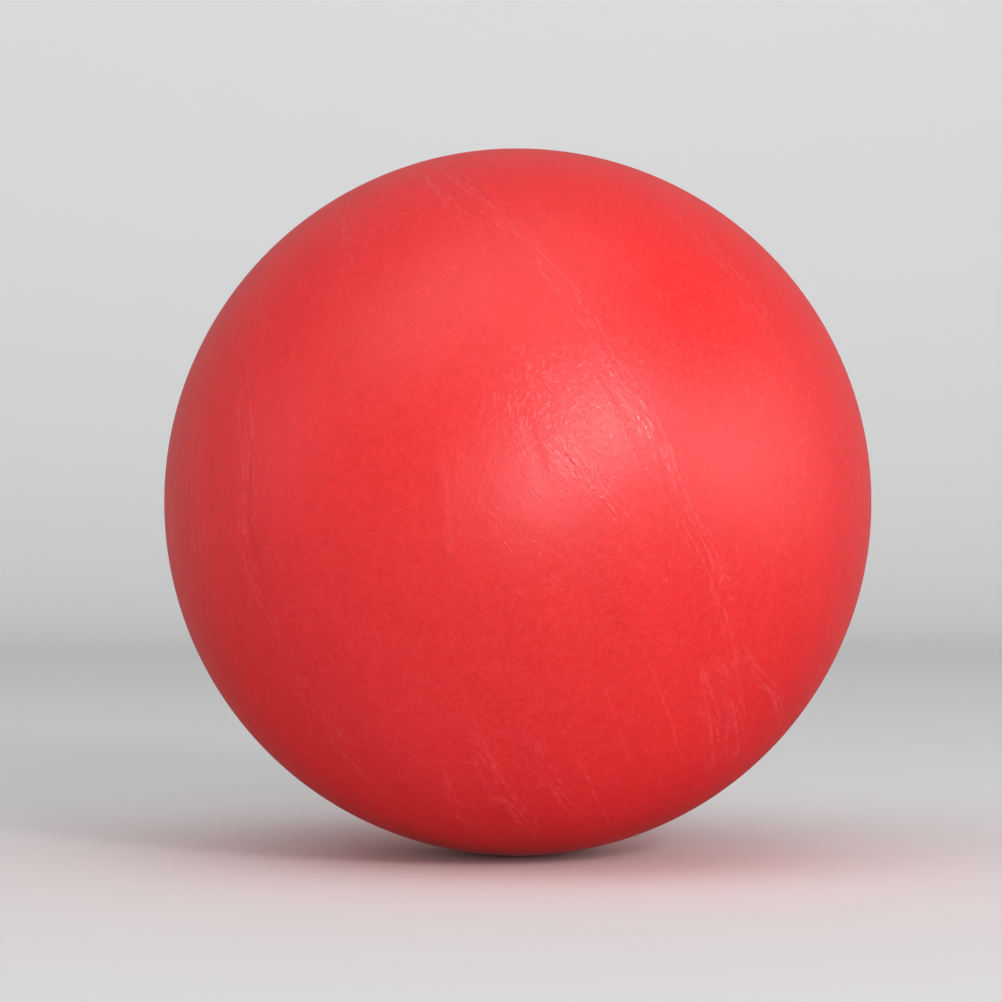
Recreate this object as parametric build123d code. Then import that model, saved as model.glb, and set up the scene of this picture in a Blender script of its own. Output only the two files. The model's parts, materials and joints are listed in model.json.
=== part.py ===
from build123d import *
import os

# Massage ball: a firm rubber core inside two moulded rubber cups.
# Millimetres, +Z up, origin at the ball's centre. The cups part on the XZ plane, so every
# piece is a turned shape about the Y axis: the front cup lies on -Y and the rear cup on +Y.

# Driving dimensions
BALL_DIAMETER = 63.0
COVER_THICKNESS = 9.0
CEMENT_FILM = 0.1

# The core's moulding flash, trimmed to a short flange that the cups trap at the parting plane
FLANGE_REACH = 2.5
FLANGE_THICKNESS = 2.0

# The rear cup's tongue and the front cup's groove, which keep the rims in line while they cure
TONGUE_WIDTH = 2.0
TONGUE_HEIGHT = 1.2
TONGUE_EDGE_BREAK = 0.3

# The buffed parting line: each cup's outer corner is broken by this much
WITNESS_BREAK = 0.15

# Worked out from the driving dimensions
BALL_RADIUS = BALL_DIAMETER / 2
SOCKET_RADIUS = BALL_RADIUS - COVER_THICKNESS
CORE_RADIUS = SOCKET_RADIUS - CEMENT_FILM
FLANGE_RADIUS = CORE_RADIUS + FLANGE_REACH
REBATE_RADIUS = FLANGE_RADIUS + CEMENT_FILM
TONGUE_RADIUS = (REBATE_RADIUS + BALL_RADIUS) / 2

FRONT = -1
REAR = 1


def ring_section(inner, outer, low, high):
    """A rectangle of the half section: X is the distance from the axis, Y runs along it."""
    place = Pos((inner + outer) / 2, (low + high) / 2)
    return place * Rectangle(outer - inner, high - low)


def half_disc(radius):
    """The half section of a whole sphere."""
    return Circle(radius) & ring_section(0, radius, -radius, radius)


def quarter_disc(radius, side):
    """The half section of the half sphere that lies on one side of the parting plane."""
    low, high = sorted((0, side * radius))
    return Circle(radius) & ring_section(0, radius, low, high)


def rim_break(side):
    """The small corner that buffing takes off a cup's outer edge at the parting line."""
    points = [
        (BALL_RADIUS - WITNESS_BREAK, 0),
        (BALL_RADIUS + WITNESS_BREAK, -side * WITNESS_BREAK),
        (BALL_RADIUS + WITNESS_BREAK, side * 2 * WITNESS_BREAK),
    ]
    return make_face(Polyline(*points, close=True))


def core():
    """Solid rubber centre with its flange, which the cups trap so that it stays centred."""
    flange = ring_section(0, FLANGE_RADIUS, -FLANGE_THICKNESS / 2, FLANGE_THICKNESS / 2)
    return revolve(half_disc(CORE_RADIUS) + flange, Axis.Y)


def cup_section(side):
    """Half section of a cup before its register: the dome, its socket and the flange's rebate."""
    low, high = sorted((0, side * FLANGE_THICKNESS / 2))
    rebate = ring_section(0, REBATE_RADIUS, low, high)
    return quarter_disc(BALL_RADIUS, side) - half_disc(SOCKET_RADIUS) - rebate - rim_break(side)


def front_cup():
    """The cup on -Y, with the groove that takes the rear cup's tongue."""
    reach = TONGUE_WIDTH / 2 + CEMENT_FILM
    depth = TONGUE_HEIGHT + CEMENT_FILM
    groove = ring_section(TONGUE_RADIUS - reach, TONGUE_RADIUS + reach, -depth, 0)
    return revolve(cup_section(FRONT) - groove, Axis.Y)


def rear_cup():
    """The cup on +Y, with the tongue that stands out of its rim."""
    inner = TONGUE_RADIUS - TONGUE_WIDTH / 2
    outer = TONGUE_RADIUS + TONGUE_WIDTH / 2
    blank = ring_section(inner, outer, -TONGUE_HEIGHT, TONGUE_WIDTH)
    tip = blank.vertices().group_by(Axis.Y)[0]
    tongue = chamfer(tip, TONGUE_EDGE_BREAK)
    return revolve(cup_section(REAR) + tongue, Axis.Y)


def main():
    os.makedirs("parts", exist_ok=True)
    export_step(core(), "parts/core.step")
    export_step(front_cup(), "parts/front_cup.step")
    export_step(rear_cup(), "parts/rear_cup.step")


main()
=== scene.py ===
"""Looks of a firm rubber massage ball: two moulded red cups round a dark core, on a pale studio sweep."""

import json
import logging
import math
from collections.abc import Callable
from dataclasses import dataclass
from enum import Enum

import bmesh
import bpy
import numpy as np
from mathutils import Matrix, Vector, noise

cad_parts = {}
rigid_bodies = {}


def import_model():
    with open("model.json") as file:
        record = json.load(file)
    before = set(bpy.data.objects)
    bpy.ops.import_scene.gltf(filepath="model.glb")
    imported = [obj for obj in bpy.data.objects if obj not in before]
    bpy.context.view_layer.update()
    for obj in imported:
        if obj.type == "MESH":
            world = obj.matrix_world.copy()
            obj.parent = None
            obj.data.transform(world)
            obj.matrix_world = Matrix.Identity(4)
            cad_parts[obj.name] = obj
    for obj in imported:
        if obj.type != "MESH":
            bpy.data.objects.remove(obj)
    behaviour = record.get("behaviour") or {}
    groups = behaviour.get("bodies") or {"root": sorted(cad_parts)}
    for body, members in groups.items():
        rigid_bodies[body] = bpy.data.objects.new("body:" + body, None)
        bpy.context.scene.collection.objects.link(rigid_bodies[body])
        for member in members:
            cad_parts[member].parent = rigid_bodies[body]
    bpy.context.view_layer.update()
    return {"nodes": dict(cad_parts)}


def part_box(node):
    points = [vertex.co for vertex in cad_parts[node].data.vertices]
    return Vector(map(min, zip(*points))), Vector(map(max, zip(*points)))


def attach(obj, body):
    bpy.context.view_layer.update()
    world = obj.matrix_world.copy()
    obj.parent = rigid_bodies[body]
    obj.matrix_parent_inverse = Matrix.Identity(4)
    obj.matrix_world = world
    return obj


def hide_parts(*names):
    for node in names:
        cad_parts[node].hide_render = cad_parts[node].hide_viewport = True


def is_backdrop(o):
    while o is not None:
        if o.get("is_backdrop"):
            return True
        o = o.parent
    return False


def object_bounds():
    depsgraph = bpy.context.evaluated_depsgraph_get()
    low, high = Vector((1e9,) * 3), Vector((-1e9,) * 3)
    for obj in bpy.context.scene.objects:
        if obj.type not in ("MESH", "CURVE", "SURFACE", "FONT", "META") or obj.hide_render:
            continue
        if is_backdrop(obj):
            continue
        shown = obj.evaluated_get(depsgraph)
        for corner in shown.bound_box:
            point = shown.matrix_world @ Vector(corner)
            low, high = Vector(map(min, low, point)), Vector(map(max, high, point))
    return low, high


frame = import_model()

log = logging.getLogger("massage_ball")

MM = 0.001
MICRON = 0.000001

# A point of a flow mark's course: latitude and longitude in the grain frame, in degrees, then strength.
CoursePoint = tuple[float, float, float]

# Turns two coordinates on a side of the cage into a place.
CagePlace = Callable[[float, float], tuple[float, float, float]]


class CupSide(Enum):
    """Which half of the ball a cup covers. The value is the sign of Y on that half."""

    FRONT = -1
    REAR = 1


class MarkKind(Enum):
    """How the rubber flowed along a mark."""

    BUNDLE = "a band of broken, parallel streaks"
    RIDGE = "one thin raised line"
    FOLD = "one wide, soft crease"


@dataclass(frozen=True)
class Grain:
    """The direction in which the rubber sheet was drawn before it was pressed.

    The grain runs like meridians about an axis that leans from +Z towards -X. Latitude 90 is the
    axis's upper end, and longitude 0 is the side that faces -Y.
    """

    lean: float = math.radians(23)

    def angles(self, points: np.ndarray) -> tuple[np.ndarray, np.ndarray]:
        """Turn places on the ball into grain latitudes and longitudes.

        Args:
            points: An (n, 3) array of places, in the row frame.

        Returns:
            Latitudes and longitudes, in degrees.
        """
        unit = points / np.linalg.norm(points, axis=1)[:, None]
        across = unit[:, 0] * math.cos(self.lean) + unit[:, 2] * math.sin(self.lean)
        along = unit[:, 2] * math.cos(self.lean) - unit[:, 0] * math.sin(self.lean)
        latitudes = np.degrees(np.arcsin(np.clip(along, -1, 1)))
        longitudes = np.degrees(np.arctan2(across, -unit[:, 1]))
        return latitudes, longitudes


@dataclass(frozen=True)
class FlowMark:
    """A mark that the rubber left as it flowed along the grain.

    Attributes:
        kind: What the mark looks like.
        half_width: Distance from its middle at which it has died out, in millimetres.
        course: Where it runs, from its upper end to its lower end.
    """

    kind: MarkKind
    half_width: float
    course: tuple[CoursePoint, ...]

    def measure(self, latitudes: np.ndarray, longitudes: np.ndarray, radius: float) -> np.ndarray:
        """Find how places on the ball lie to the mark.

        Args:
            latitudes: Grain latitudes of the places, in degrees.
            longitudes: Grain longitudes of the places, in degrees.
            radius: The ball's radius, in millimetres.

        Returns:
            An (n, 3) array: signed distance from the mark's middle and distance along it, both in
            millimetres, then how strong the mark is there, 0 for none, 1 for a plain one and
            below 0 for a groove.
        """
        stops = np.array(sorted(self.course))
        rounding = 2.0
        middle = sum(
            weight * np.interp(latitudes + shift, stops[:, 0], stops[:, 1])
            for shift, weight in ((-rounding, 0.25), (0.0, 0.5), (rounding, 0.25))
        )
        strength = np.interp(latitudes, stops[:, 0], stops[:, 2], left=0.0, right=0.0)
        turn = (longitudes - middle + 180) % 360 - 180
        gap = np.radians(turn) * np.cos(np.radians(latitudes)) * radius
        run = np.radians(latitudes) * radius
        side_fade = np.clip(1 - (gap / self.half_width) ** 2, 0, 1)
        return np.stack([gap, run, strength * side_fade], axis=1)


class PatchKind(Enum):
    """How a patch of skin set. The value is the attribute that tells the material about it."""

    WRINKLED = "wrinkle"
    CALM = "unrest"


@dataclass(frozen=True)
class SkinPatch:
    """A patch where the skin set with wandering wrinkles, or calm, without fibres and specks.

    Attributes:
        kind: How the patch set.
        latitude: Grain latitude of its centre, in degrees.
        longitude: Grain longitude of its centre, in degrees.
        reach: Distance from its centre at which it has died out, in degrees.
        strength: How wrinkled or how calm it is, from 0 to 1.
    """

    kind: PatchKind
    latitude: float
    longitude: float
    reach: float
    strength: float

    def measure(self, latitudes: np.ndarray, longitudes: np.ndarray) -> np.ndarray:
        """Find how strongly places on the ball belong to the patch.

        Args:
            latitudes: Grain latitudes of the places, in degrees.
            longitudes: Grain longitudes of the places, in degrees.

        Returns:
            Strengths from 0 to 1.
        """
        turn = (longitudes - self.longitude + 180) % 360 - 180
        across = turn * np.cos(np.radians(latitudes))
        away = np.hypot(across, latitudes - self.latitude) / self.reach
        return self.strength * np.clip(1 - away**2, 0, 1)


FRONT_MARKS: tuple[FlowMark, ...] = (
    FlowMark(MarkKind.BUNDLE, 1.5, (
        (70, 24, 0), (60, 22, 0.7), (46, 20, 0.8), (37, 21.5, 0.5), (23, 22, 0.8), (12, 21.3, 1),
        (1, 23, 1), (-9, 22.4, 0.9), (-20, 25, 0.8), (-32, 26, 0.5), (-54, 27, 0.7), (-67, 32, 0))),
    FlowMark(MarkKind.BUNDLE, 1.5, (
        (64, -45, 0), (49, -43.5, 0.4), (38, -43, 0.3), (27, -41.5, 0.6), (20, -42, 0.9), (13, -45, 0.9),
        (7, -46.4, 0.5), (-4, -46.8, 0.3), (-19, -47.5, 0.7), (-30, -51, 0.6), (-42, -51.5, 0))),
    FlowMark(MarkKind.BUNDLE, 1.5, ((42, -54.5, 0), (30, -58, 0.4), (12, -59, 0.4), (-2, -58, 0))),
    FlowMark(MarkKind.BUNDLE, 2.0, ((42, 61, 0), (30, 56, 0.5), (14, 53.5, 0.6), (-4, 56.5, 0))),
    FlowMark(MarkKind.BUNDLE, 1.6, ((-15, -42, 0), (-25, -38, 0.5), (-40, -35, 0))),
    FlowMark(MarkKind.BUNDLE, 1.6, ((-26, -21, 0), (-36, -25, 0.9), (-52, -32, 1), (-66, -42, 0))),
    FlowMark(MarkKind.BUNDLE, 1.2, ((-28, -14, 0), (-38, -16, 0.6), (-52, -19, 0.8), (-62, -22, 0))),
    FlowMark(MarkKind.BUNDLE, 1.0, ((-31, -32, 0), (-38, -37, 0.9), (-47, -43.5, 0.8), (-54, -49, 0))),
    FlowMark(MarkKind.BUNDLE, 1.3, ((-33, 18.3, 0), (-40, 19.4, 1), (-57, 23.5, 1), (-65, 27, 0))),
    FlowMark(MarkKind.BUNDLE, 1.1, ((-33, 22, 0), (-39, 23.5, 0.9), (-60, 34, 1), (-67, 38, 0))),
    FlowMark(MarkKind.BUNDLE, 1.1, ((-33, 27.5, 0), (-40, 30.6, 1), (-55, 48, 1), (-61, 57, 0))),
    FlowMark(MarkKind.BUNDLE, 1.7, (
        (10, 7.2, 0), (6, 8.2, 0.7), (2, 9.5, 1), (-5, 11.5, 0.9), (-9, 13, 0.5), (-13, 14, 0))),
    FlowMark(MarkKind.BUNDLE, 1.5, ((70, -18, 0), (58, -16, 0.6), (46, -15, 0.3), (34, -16, 0))),
    FlowMark(MarkKind.BUNDLE, 1.0, (
        (70, 17, 0), (64, 15.8, 0.8), (53, 13.5, 0.8), (47, 15, 0.5), (40, 17, 0))),
    FlowMark(MarkKind.RIDGE, 0.6, (
        (43, 21.2, 0), (39, 21.6, 0.7), (30, 23.1, 0.8), (21, 22.6, 0.8), (17, 22, 0))),
    FlowMark(MarkKind.RIDGE, 0.6, ((49, 30.8, 0), (46, 30.4, 0.6), (40, 29, 0.6), (37, 28.6, 0))),
    FlowMark(MarkKind.RIDGE, 0.6, (
        (15, 19.2, 0), (11, 18.9, 1.4), (3, 18.9, 1.6), (-3, 19.5, 1.2), (-6, 19.9, 0))),
    FlowMark(MarkKind.RIDGE, 0.6, ((8, 8.2, 0), (3, 9.6, 0.7), (-5, 11.8, 0.7), (-9, 13, 0))),
    FlowMark(MarkKind.RIDGE, 0.6, ((8, 13.5, 0), (5, 13.4, 0.6), (0, 12.4, 0.6), (-3, 11.8, 0))),
    FlowMark(MarkKind.RIDGE, 0.5, ((-28, 1.6, 0), (-33, 1, 0.5), (-46, 0.3, 0.5), (-52, 0, 0))),
    FlowMark(MarkKind.RIDGE, 0.5, ((-29, 9.4, 0), (-34, 10.2, 0.6), (-50, 12, 0.6), (-57, 13, 0))),
    FlowMark(MarkKind.RIDGE, 0.6, ((-40, -9, 0), (-48, -10, 0.8), (-62, -14, 0.8), (-70, -18, 0))),
    FlowMark(MarkKind.RIDGE, 0.6, ((38, 33, 0), (33, 34, 0.3), (20, 36, 0.35), (14, 37, 0))),
    FlowMark(MarkKind.RIDGE, 0.6, ((-8, 34, 0), (-14, 35, 0.35), (-26, 37, 0.35), (-32, 38, 0))),
    FlowMark(MarkKind.FOLD, 2.2, ((14, -7.5, 0), (8, -9, 0.8), (-1, -12, 0.8), (-6, -13.5, 0))),
    FlowMark(MarkKind.FOLD, 1.4, (
        (16, 6.6, 0), (11, 5.8, -0.6), (4, 5.1, -0.7), (-3, 4.9, -0.5), (-7, 4.9, 0))),
    FlowMark(MarkKind.FOLD, 2.4, (
        (30, -40.4, 0), (22, -41, -0.9), (14, -43.4, -1), (6, -44.8, -0.6), (0, -45.5, 0))),
    FlowMark(MarkKind.FOLD, 3.0, ((60, 20, 0), (50, 21, 0.6), (36, 22, 0))),
)

REAR_MARKS: tuple[FlowMark, ...] = (
    FlowMark(MarkKind.BUNDLE, 2.2, (
        (58, 112, 0), (44, 110, 0.6), (8, 113, 0.9), (-20, 118, 0.5), (-40, 120, 0))),
    FlowMark(MarkKind.BUNDLE, 1.8, (
        (66, 148, 0), (50, 147, 0.7), (30, 143, 0.4), (12, 144, 0.7), (-6, 148, 0))),
    FlowMark(MarkKind.BUNDLE, 2.4, (
        (48, -172, 0), (36, -170, 0.6), (14, -172, 1), (-10, -176, 0.8), (-34, -178, 0.6), (-56, -174, 0))),
    FlowMark(MarkKind.BUNDLE, 1.6, (
        (22, -140, 0), (8, -141, 0.8), (-18, -138, 0.6), (-44, -142, 0.7), (-60, -147, 0))),
    FlowMark(MarkKind.BUNDLE, 1.8, ((60, -116, 0), (44, -114, 0.5), (16, -112, 0.8), (-8, -113, 0))),
    FlowMark(MarkKind.RIDGE, 0.6, ((26, 160, 0), (20, 161, 0.9), (2, 163, 0.8), (-8, 164, 0))),
    FlowMark(MarkKind.RIDGE, 0.6, ((-20, 138, 0), (-26, 139, 0.7), (-44, 143, 0.8), (-52, 145, 0))),
    FlowMark(MarkKind.RIDGE, 0.6, ((40, -152, 0), (34, -152, 0.8), (18, -155, 0.7), (10, -157, 0))),
    FlowMark(MarkKind.RIDGE, 0.6, ((-22, -122, 0), (-28, -122, 0.8), (-46, -118, 0.7), (-54, -116, 0))),
    FlowMark(MarkKind.FOLD, 3.0, ((34, 128, 0), (24, 127, 0.8), (6, 125, 0.8), (-8, 124, 0))),
    FlowMark(MarkKind.FOLD, 2.6, ((-12, -160, 0), (-22, -158, 0.9), (-36, -155, 0.7), (-46, -153, 0))),
)

FRONT_PATCHES: tuple[SkinPatch, ...] = (
    SkinPatch(PatchKind.WRINKLED, 9.5, 13, 14, 1.0),
    SkinPatch(PatchKind.WRINKLED, -6, 50, 26, 0.3),
    SkinPatch(PatchKind.WRINKLED, 40, -2, 16, 0.2),
    SkinPatch(PatchKind.WRINKLED, -36, -24, 20, 0.2),
    SkinPatch(PatchKind.WRINKLED, 62, 0, 18, 0.3),
    SkinPatch(PatchKind.CALM, 14, -26, 32, 0.7),
    SkinPatch(PatchKind.CALM, 44, -14, 24, 0.45),
)

REAR_PATCHES: tuple[SkinPatch, ...] = (
    SkinPatch(PatchKind.WRINKLED, 10, 152, 18, 0.8),
    SkinPatch(PatchKind.WRINKLED, -30, -166, 22, 0.6),
    SkinPatch(PatchKind.WRINKLED, 34, -128, 20, 0.6),
    SkinPatch(PatchKind.CALM, -4, -150, 30, 0.8),
    SkinPatch(PatchKind.CALM, 32, 172, 24, 0.6),
)


@dataclass(frozen=True)
class CoverFinish:
    """Satin moulded rubber of the ball's skin.

    Attributes:
        name: The material's name.
        base: Linear colour of the clean skin.
        deep: Linear colour where the pigment is densest.
        pale_and_glint: Linear colour of the paler marks: partly scuffed or drawn-out rubber, which goes
            pale, partly a painted glint.
        roughness: Roughness of the clean skin.
    """

    name: str = "cover_rubber_red"
    base: tuple[float, float, float] = (0.845, 0.011, 0.013)
    deep: tuple[float, float, float] = (0.765, 0.007, 0.010)
    # Colour of the paler marks: partly drawn-out rubber, partly a painted glint standing in for the
    # highlight that the marks catch.
    pale_and_glint: tuple[float, float, float] = (0.97, 0.092, 0.106)
    roughness: float = 0.41


@dataclass(frozen=True)
class CoreFinish:
    """Matt pressed rubber of the ball's centre.

    Attributes:
        name: The material's name.
        base: Linear colour of the rubber.
        crumb: Linear colour of the ground crumb in it.
        roughness: Roughness of its pressed surface.
    """

    name: str = "core_rubber_dark"
    base: tuple[float, float, float] = (0.030, 0.028, 0.026)
    crumb: tuple[float, float, float] = (0.085, 0.070, 0.062)
    roughness: float = 0.72


def cover_rubber(finish: CoverFinish, grain: Grain, radius: float) -> bpy.types.Material:
    """Write out the skin's material: red satin rubber with flow marks, wrinkles, specks and a buffed line.

    Args:
        finish: The skin's colours and roughness.
        grain: The direction in which the rubber flowed.
        radius: The ball's radius, in millimetres.

    Returns:
        The finished material.
    """
    material = bpy.data.materials.new(finish.name)
    material.use_nodes = True
    tree = material.node_tree
    tree.nodes.clear()
    nodes = tree.nodes
    links = tree.links

    # Places: millimetres in the grain frame, bent a little, then drawn out along the grain
    place_frame = nodes.new("NodeFrame")
    place_frame.label = "Places along the grain"

    place = nodes.new("ShaderNodeTexCoord")
    place.label = "Place on the ball"
    place.parent = place_frame

    grain_turn = nodes.new("ShaderNodeMapping")
    grain_turn.label = "Millimetres, with the grain up Z"
    grain_turn.parent = place_frame
    grain_turn.inputs["Rotation"].default_value = (0.0, grain.lean, 0.0)
    grain_turn.inputs["Scale"].default_value = (1 / MM, 1 / MM, 1 / MM)
    links.new(place.outputs["Object"], grain_turn.inputs["Vector"])

    wander = nodes.new("ShaderNodeTexNoise")
    wander.label = "Slow wander of the flow"
    wander.parent = place_frame
    wander.inputs["Scale"].default_value = 0.11
    wander.inputs["Detail"].default_value = 2.0
    links.new(grain_turn.outputs["Vector"], wander.inputs["Vector"])

    wander_centred = nodes.new("ShaderNodeVectorMath")
    wander_centred.label = "Wander both ways"
    wander_centred.parent = place_frame
    wander_centred.operation = "SUBTRACT"
    wander_centred.inputs[1].default_value = (0.5, 0.5, 0.5)
    links.new(wander.outputs["Color"], wander_centred.inputs[0])

    wandered = nodes.new("ShaderNodeVectorMath")
    wandered.label = "Bend the grain by up to 3 mm"
    wandered.parent = place_frame
    wandered.operation = "MULTIPLY_ADD"
    wandered.inputs[1].default_value = (6.0, 6.0, 6.0)
    links.new(wander_centred.outputs["Vector"], wandered.inputs[0])
    links.new(grain_turn.outputs["Vector"], wandered.inputs[2])

    level = nodes.new("ShaderNodeVectorMath")
    level.label = "Leave only the way across the grain"
    level.parent = place_frame
    level.operation = "MULTIPLY"
    level.inputs[1].default_value = (1.0, 1.0, 0.0)
    links.new(wandered.outputs["Vector"], level.inputs[0])

    off_axis = nodes.new("ShaderNodeVectorMath")
    off_axis.label = "Distance from the grain axis"
    off_axis.parent = place_frame
    off_axis.operation = "LENGTH"
    links.new(level.outputs["Vector"], off_axis.inputs[0])

    gather = nodes.new("ShaderNodeMath")
    gather.label = "How far streaks gather towards the poles"
    gather.parent = place_frame
    gather.operation = "DIVIDE"
    gather.inputs[0].default_value = radius
    links.new(off_axis.outputs["Value"], gather.inputs[1])

    gather_soft = nodes.new("ShaderNodeMath")
    gather_soft.label = "Gather by the square root only"
    gather_soft.parent = place_frame
    gather_soft.operation = "SQRT"
    links.new(gather.outputs["Value"], gather_soft.inputs[0])

    gathered = nodes.new("ShaderNodeVectorMath")
    gathered.label = "Gathered across the grain"
    gathered.parent = place_frame
    gathered.operation = "SCALE"
    links.new(level.outputs["Vector"], gathered.inputs[0])
    links.new(gather_soft.outputs["Value"], gathered.inputs["Scale"])

    drawn = nodes.new("ShaderNodeVectorMath")
    drawn.label = "Drawn out fourteen times along the grain"
    drawn.parent = place_frame
    drawn.operation = "MULTIPLY_ADD"
    drawn.inputs[1].default_value = (0.0, 0.0, 0.07)
    links.new(wandered.outputs["Vector"], drawn.inputs[0])
    links.new(gathered.outputs["Vector"], drawn.inputs[2])

    # Fibres: short spindles in two crossing directions
    fibre_frame = nodes.new("NodeFrame")
    fibre_frame.label = "Short fibres in two directions"

    unrest = nodes.new("ShaderNodeAttribute")
    unrest.label = "How restless the skin is here"
    unrest.parent = fibre_frame
    unrest.attribute_name = "unrest"

    wrinkle = nodes.new("ShaderNodeAttribute")
    wrinkle.label = "How wrinkled the skin is here"
    wrinkle.parent = fibre_frame
    wrinkle.attribute_name = "wrinkle"

    fibre_place = nodes.new("ShaderNodeVectorMath")
    fibre_place.label = "Five times longer along the grain"
    fibre_place.parent = fibre_frame
    fibre_place.operation = "MULTIPLY"
    fibre_place.inputs[1].default_value = (1.0, 1.0, 0.2)
    links.new(wandered.outputs["Vector"], fibre_place.inputs[0])

    fibre = nodes.new("ShaderNodeTexVoronoi")
    fibre.label = "Fibres along the grain"
    fibre.parent = fibre_frame
    fibre.inputs["Scale"].default_value = 3.2
    links.new(fibre_place.outputs["Vector"], fibre.inputs["Vector"])

    fibre_body = nodes.new("ShaderNodeMapRange")
    fibre_body.label = "Tapered spindle an eighth of a millimetre wide"
    fibre_body.parent = fibre_frame
    fibre_body.interpolation_type = "SMOOTHSTEP"
    fibre_body.inputs["From Min"].default_value = 0.34
    fibre_body.inputs["From Max"].default_value = 0.06
    links.new(fibre.outputs["Distance"], fibre_body.inputs["Value"])

    fibre_pick = nodes.new("ShaderNodeSeparateColor")
    fibre_pick.label = "A random height for each fibre"
    fibre_pick.parent = fibre_frame
    links.new(fibre.outputs["Color"], fibre_pick.inputs["Color"])

    fibre_height = nodes.new("ShaderNodeMath")
    fibre_height.label = "Fibres of random height"
    fibre_height.parent = fibre_frame
    fibre_height.operation = "MULTIPLY"
    links.new(fibre_body.outputs["Result"], fibre_height.inputs[0])
    links.new(fibre_pick.outputs["Red"], fibre_height.inputs[1])

    cross_turn = nodes.new("ShaderNodeMapping")
    cross_turn.label = "A second direction, turned from the grain"
    cross_turn.parent = fibre_frame
    cross_turn.inputs["Rotation"].default_value = (0.25, math.radians(-52), 0.0)
    links.new(wandered.outputs["Vector"], cross_turn.inputs["Vector"])

    cross_place = nodes.new("ShaderNodeVectorMath")
    cross_place.label = "Four times longer that way"
    cross_place.parent = fibre_frame
    cross_place.operation = "MULTIPLY"
    cross_place.inputs[1].default_value = (1.0, 1.0, 0.25)
    links.new(cross_turn.outputs["Vector"], cross_place.inputs[0])

    cross = nodes.new("ShaderNodeTexVoronoi")
    cross.label = "Fibres across the grain"
    cross.parent = fibre_frame
    cross.inputs["Scale"].default_value = 2.9
    links.new(cross_place.outputs["Vector"], cross.inputs["Vector"])

    cross_body = nodes.new("ShaderNodeMapRange")
    cross_body.label = "Tapered crossing spindle"
    cross_body.parent = fibre_frame
    cross_body.interpolation_type = "SMOOTHSTEP"
    cross_body.inputs["From Min"].default_value = 0.30
    cross_body.inputs["From Max"].default_value = 0.05
    links.new(cross.outputs["Distance"], cross_body.inputs["Value"])

    cross_pick = nodes.new("ShaderNodeSeparateColor")
    cross_pick.label = "A random height for each crossing fibre"
    cross_pick.parent = fibre_frame
    links.new(cross.outputs["Color"], cross_pick.inputs["Color"])

    cross_height = nodes.new("ShaderNodeMath")
    cross_height.label = "Crossing fibres of random height"
    cross_height.parent = fibre_frame
    cross_height.operation = "MULTIPLY"
    links.new(cross_body.outputs["Result"], cross_height.inputs[0])
    links.new(cross_pick.outputs["Green"], cross_height.inputs[1])

    fibre_both = nodes.new("ShaderNodeMath")
    fibre_both.label = "Both directions of fibre"
    fibre_both.parent = fibre_frame
    fibre_both.operation = "MAXIMUM"
    links.new(fibre_height.outputs["Value"], fibre_both.inputs[0])
    links.new(cross_height.outputs["Value"], fibre_both.inputs[1])

    fibre_drift = nodes.new("ShaderNodeTexNoise")
    fibre_drift.label = "Where fibres gather"
    fibre_drift.parent = fibre_frame
    fibre_drift.inputs["Scale"].default_value = 0.35
    fibre_drift.inputs["Detail"].default_value = 2.0
    links.new(grain_turn.outputs["Vector"], fibre_drift.inputs["Vector"])

    fibre_density = nodes.new("ShaderNodeMapRange")
    fibre_density.label = "Gathered fibres stand out"
    fibre_density.parent = fibre_frame
    fibre_density.interpolation_type = "SMOOTHSTEP"
    fibre_density.inputs["From Min"].default_value = 0.32
    fibre_density.inputs["From Max"].default_value = 0.60
    fibre_density.inputs["To Min"].default_value = 0.45
    links.new(fibre_drift.outputs["Fac"], fibre_density.inputs["Value"])

    fibre_share = nodes.new("ShaderNodeMath")
    fibre_share.label = "Calm and restless skin"
    fibre_share.parent = fibre_frame
    fibre_share.operation = "MULTIPLY"
    links.new(fibre_density.outputs["Result"], fibre_share.inputs[0])
    links.new(unrest.outputs["Fac"], fibre_share.inputs[1])

    fibre_crowd = nodes.new("ShaderNodeMath")
    fibre_crowd.label = "Fibres crowd and stand twice as high in wrinkled skin"
    fibre_crowd.parent = fibre_frame
    fibre_crowd.operation = "MULTIPLY_ADD"
    fibre_crowd.inputs[1].default_value = 1.8
    links.new(wrinkle.outputs["Fac"], fibre_crowd.inputs[0])
    links.new(fibre_share.outputs["Value"], fibre_crowd.inputs[2])

    fibre_mask = nodes.new("ShaderNodeMath")
    fibre_mask.label = "Fibres"
    fibre_mask.parent = fibre_frame
    fibre_mask.operation = "MULTIPLY"
    links.new(fibre_both.outputs["Value"], fibre_mask.inputs[0])
    links.new(fibre_crowd.outputs["Value"], fibre_mask.inputs[1])

    # Streak bundles: spindles that lie along each mark's own course
    streak_frame = nodes.new("NodeFrame")
    streak_frame.label = "Bundles of flow streaks"

    streak = nodes.new("ShaderNodeAttribute")
    streak.label = "Gap, run and strength of the nearest bundle"
    streak.parent = streak_frame
    streak.attribute_name = "streak"

    streak_parts = nodes.new("ShaderNodeSeparateXYZ")
    streak_parts.label = "Split the bundle's readings"
    streak_parts.parent = streak_frame
    links.new(streak.outputs["Vector"], streak_parts.inputs["Vector"])

    streak_field_place = nodes.new("ShaderNodeVectorMath")
    streak_field_place.label = "Narrow across and long along the bundle"
    streak_field_place.parent = streak_frame
    streak_field_place.operation = "MULTIPLY"
    streak_field_place.inputs[1].default_value = (1.0, 0.11, 0.0)
    links.new(streak.outputs["Vector"], streak_field_place.inputs[0])

    streak_field = nodes.new("ShaderNodeTexNoise")
    streak_field.label = "Broken parallel streaks"
    streak_field.parent = streak_frame
    streak_field.inputs["Scale"].default_value = 1.9
    streak_field.inputs["Detail"].default_value = 3.0
    streak_field.inputs["Roughness"].default_value = 0.62
    streak_field.inputs["Distortion"].default_value = 0.15
    links.new(streak_field_place.outputs["Vector"], streak_field.inputs["Vector"])

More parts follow.
